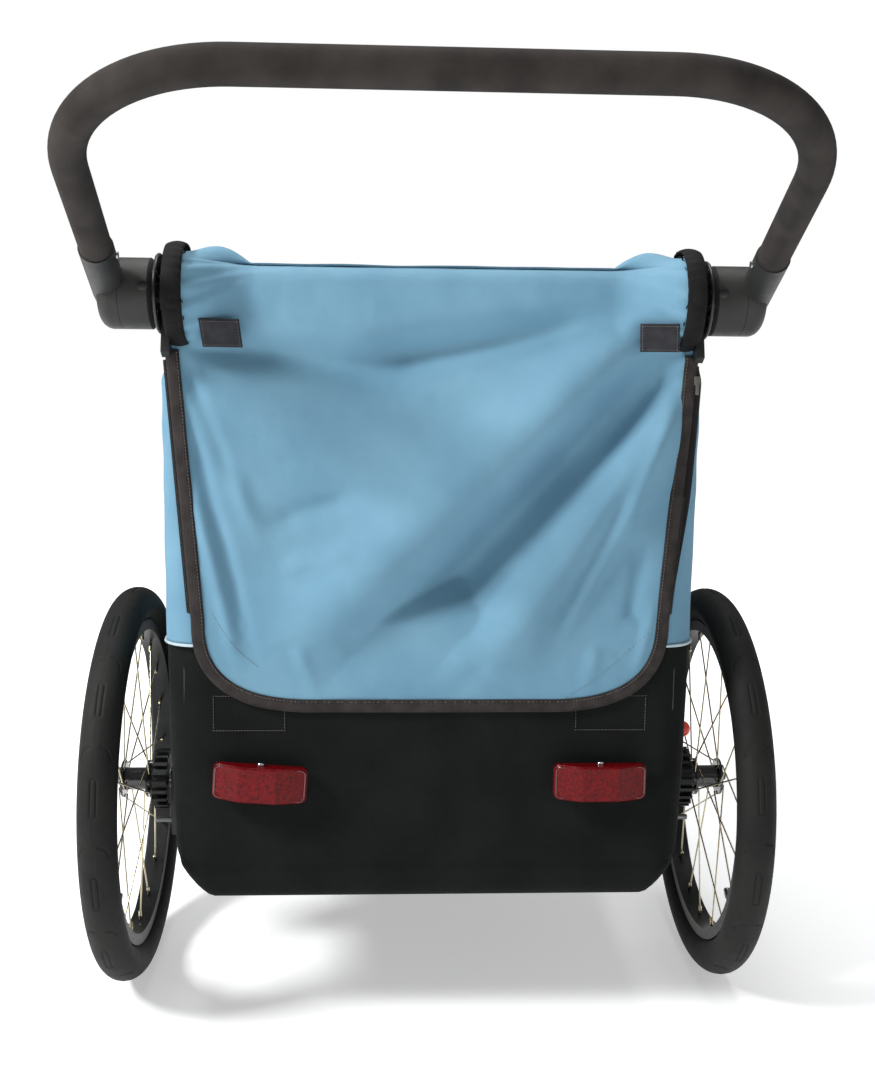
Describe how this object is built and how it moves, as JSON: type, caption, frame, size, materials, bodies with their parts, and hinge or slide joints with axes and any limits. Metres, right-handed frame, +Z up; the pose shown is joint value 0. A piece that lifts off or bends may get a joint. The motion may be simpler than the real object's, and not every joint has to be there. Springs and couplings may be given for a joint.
{
  "type": "child bicycle trailer",
  "caption": "Child bicycle trailer: folding fabric-covered tube frame on two spoked wheels, with a foam handlebar, a swivelling front wheel and a swing-out tow arm.",
  "frame": {"origin": "middle of the whole box on the ground, under the floor just in front of the wheel axle", "axes": "+Z up, +Y in the direction of travel, +X to the right seen from behind"},
  "size_m": [0.801, 1.1733, 1.0266],
  "materials": {
    "frame_tube": "black anodised satin",
    "frame_cast": "glass-filled nylon",
    "pin_steel": "zinc plated",
    "hub_plastic": "fine textured black",
    "foam": "matte foam",
    "tyre_rubber": "moulded rubber",
    "rim_black": "black anodised",
    "spoke_steel": "stainless",
    "hub_black": "gloss black",
    "ring_black": "moulded nylon",
    "tub_fabric": "coated woven polyester",
    "cover_fabric": "blue woven polyester",
    "window_mesh": "mesh and window film",
    "seat_fabric": "padded grey fabric",
    "reflector_red": "prismatic red",
    "screw_chrome": "polished",
    "knob_red": "soft red plastic",
    "button_grey": "grey plastic"
  },
  "bodies": {
    "chassis": {"side_frame_left": "frame_tube", "side_frame_right": "frame_tube", "floor_cross_tubes": "frame_tube", "axle_tube": "frame_tube", "axle_receivers": "frame_cast", "fold_clevises": "frame_cast", "hoop_brackets": "frame_cast", "hinge_pins": "pin_steel", "seat_tube": "frame_tube", "seat_bench": "seat_fabric", "tub_side_left": "tub_fabric", "tub_side_right": "tub_fabric", "tub_back": "tub_fabric", "tub_nose": "tub_fabric", "tub_floor": "tub_fabric", "reflector_left": "reflector_red", "reflector_right": "reflector_red", "reflector_screws": "screw_chrome", "caster_bracket": "frame_cast", "tow_bracket": "frame_cast", "wheel_axle_left": "pin_steel", "wheel_axle_right": "pin_steel", "upper_cover": "cover_fabric"},
    "rear_frame": {"rear_frame_tube": "frame_tube", "hub_base_left": "hub_plastic", "hub_base_right": "hub_plastic", "seat_back": "seat_fabric", "rear_flap": "cover_fabric"},
    "front_hoop": {"front_hoop_tube": "frame_tube", "front_cover": "window_mesh"},
    "handlebar": {"handlebar_tube": "frame_tube", "foam_grip": "foam", "elbow_left": "hub_plastic", "elbow_right": "hub_plastic", "elbow_screws": "pin_steel"},
    "button_left": {"release_button_left": "button_grey"},
    "button_right": {"release_button_right": "button_grey"},
    "latch_left": {"fold_latch_left": "button_grey"},
    "latch_right": {"fold_latch_right": "button_grey"},
    "wheel_left": {"tyre_left": "tyre_rubber", "rim_left": "rim_black", "spokes_left": "spoke_steel", "hub_left": "hub_black", "brake_ring_left": "ring_black"},
    "wheel_right": {"tyre_right": "tyre_rubber", "rim_right": "rim_black", "spokes_right": "spoke_steel", "hub_right": "hub_black", "brake_ring_right": "ring_black"},
    "cap_left": {"release_cap_left": "button_grey"},
    "cap_right": {"release_cap_right": "button_grey"},
    "caster_swivel": {"caster_fork": "frame_cast"},
    "caster_wheel": {"caster_tyre": "tyre_rubber", "caster_rim": "hub_plastic"},
    "tow": {"tow_arm": "frame_tube", "hitch_head": "frame_cast"},
    "parking_lever": {"brake_lever": "frame_cast", "brake_knob": "knob_red"},
    "lock_left": {"lock_pin_left": "pin_steel"},
    "lock_right": {"lock_pin_right": "pin_steel"}
  },
  "joints": [
    {"name": "rear_fold", "type": "hinge", "parent": "chassis", "child": "rear_frame", "pos_m": [0, -0.19433, 0.44], "axis": [-1, 0, 0], "range_deg": [0, 85], "deforming": ["upper_cover", "front_cover", "rear_flap", "seat_back"]},
    {"name": "hoop_fold", "type": "hinge", "parent": "chassis", "child": "front_hoop", "pos_m": [0, 0.49067, 0.42], "axis": [1, 0, 0], "range_deg": [0, 45.01]},
    {"name": "handlebar_tilt", "type": "hinge", "parent": "rear_frame", "child": "handlebar", "pos_m": [0, -0.20933, 0.857], "axis": [-1, 0, 0], "range_deg": [-60, 67]},
    {"name": "button_left_press", "type": "slide", "parent": "handlebar", "child": "button_left", "axis": [1, 0, 0], "range_m": [0, 0.003], "stiffness_N_per_m": 900},
    {"name": "button_right_press", "type": "slide", "parent": "handlebar", "child": "button_right", "axis": [-1, 0, 0], "range_m": [0, 0.003], "stiffness_N_per_m": 900},
    {"name": "latch_left_pull", "type": "hinge", "parent": "rear_frame", "child": "latch_left", "pos_m": [-0.2885, -0.20933, 0.857], "axis": [-1, 0, 0], "range_deg": [0, 25], "stiffness_Nm_per_rad": 0.3},
    {"name": "latch_right_pull", "type": "hinge", "parent": "rear_frame", "child": "latch_right", "pos_m": [0.2885, -0.20933, 0.857], "axis": [-1, 0, 0], "range_deg": [0, 25], "stiffness_Nm_per_rad": 0.3},
    {"name": "wheel_left_spin", "type": "hinge", "parent": "chassis", "child": "wheel_left", "pos_m": [-0.3745, -0.00933, 0.25], "axis": [-1, 0, 0], "continuous": true},
    {"name": "wheel_right_spin", "type": "hinge", "parent": "chassis", "child": "wheel_right", "pos_m": [0.3745, -0.00933, 0.25], "axis": [-1, 0, 0], "continuous": true},
    {"name": "cap_left_press", "type": "slide", "parent": "chassis", "child": "cap_left", "axis": [1, 0, 0], "range_m": [0, 0.0035], "stiffness_N_per_m": 800},
    {"name": "cap_right_press", "type": "slide", "parent": "chassis", "child": "cap_right", "axis": [-1, 0, 0], "range_m": [0, 0.0035], "stiffness_N_per_m": 800},
    {"name": "caster_turn", "type": "hinge", "parent": "chassis", "child": "caster_swivel", "pos_m": [0, 0.47067, 0.16], "axis": [0, 0, 1], "continuous": true},
    {"name": "caster_spin", "type": "hinge", "parent": "caster_swivel", "child": "caster_wheel", "pos_m": [0, 0.43567, 0.0635], "axis": [-1, 0, 0], "continuous": true},
    {"name": "tow_swing", "type": "hinge", "parent": "chassis", "child": "tow", "pos_m": [-0.262, 0.57067, 0.235], "axis": [0, 0, 1], "range_deg": [0, 95]},
    {"name": "parking_brake", "type": "hinge", "parent": "chassis", "child": "parking_lever", "pos_m": [0.322, -0.00933, 0.28], "axis": [-1, 0, 0], "range_deg": [0, 40]},
    {"name": "lock_left_slide", "type": "slide", "parent": "chassis", "child": "lock_left", "axis": [0, 0, 1], "range_m": [0, 0.01601]},
    {"name": "lock_right_slide", "type": "slide", "parent": "chassis", "child": "lock_right", "axis": [0, 0, 1], "range_m": [0, 0.01601]}
  ],
  "couplings": [
    {"joint": "hoop_fold", "follows": "rear_fold", "ratio": 0.52941},
    {"joint": "lock_left_slide", "follows": "parking_brake", "m_per_rad": 0.022918},
    {"joint": "lock_right_slide", "follows": "parking_brake", "m_per_rad": 0.022918}
  ]
}
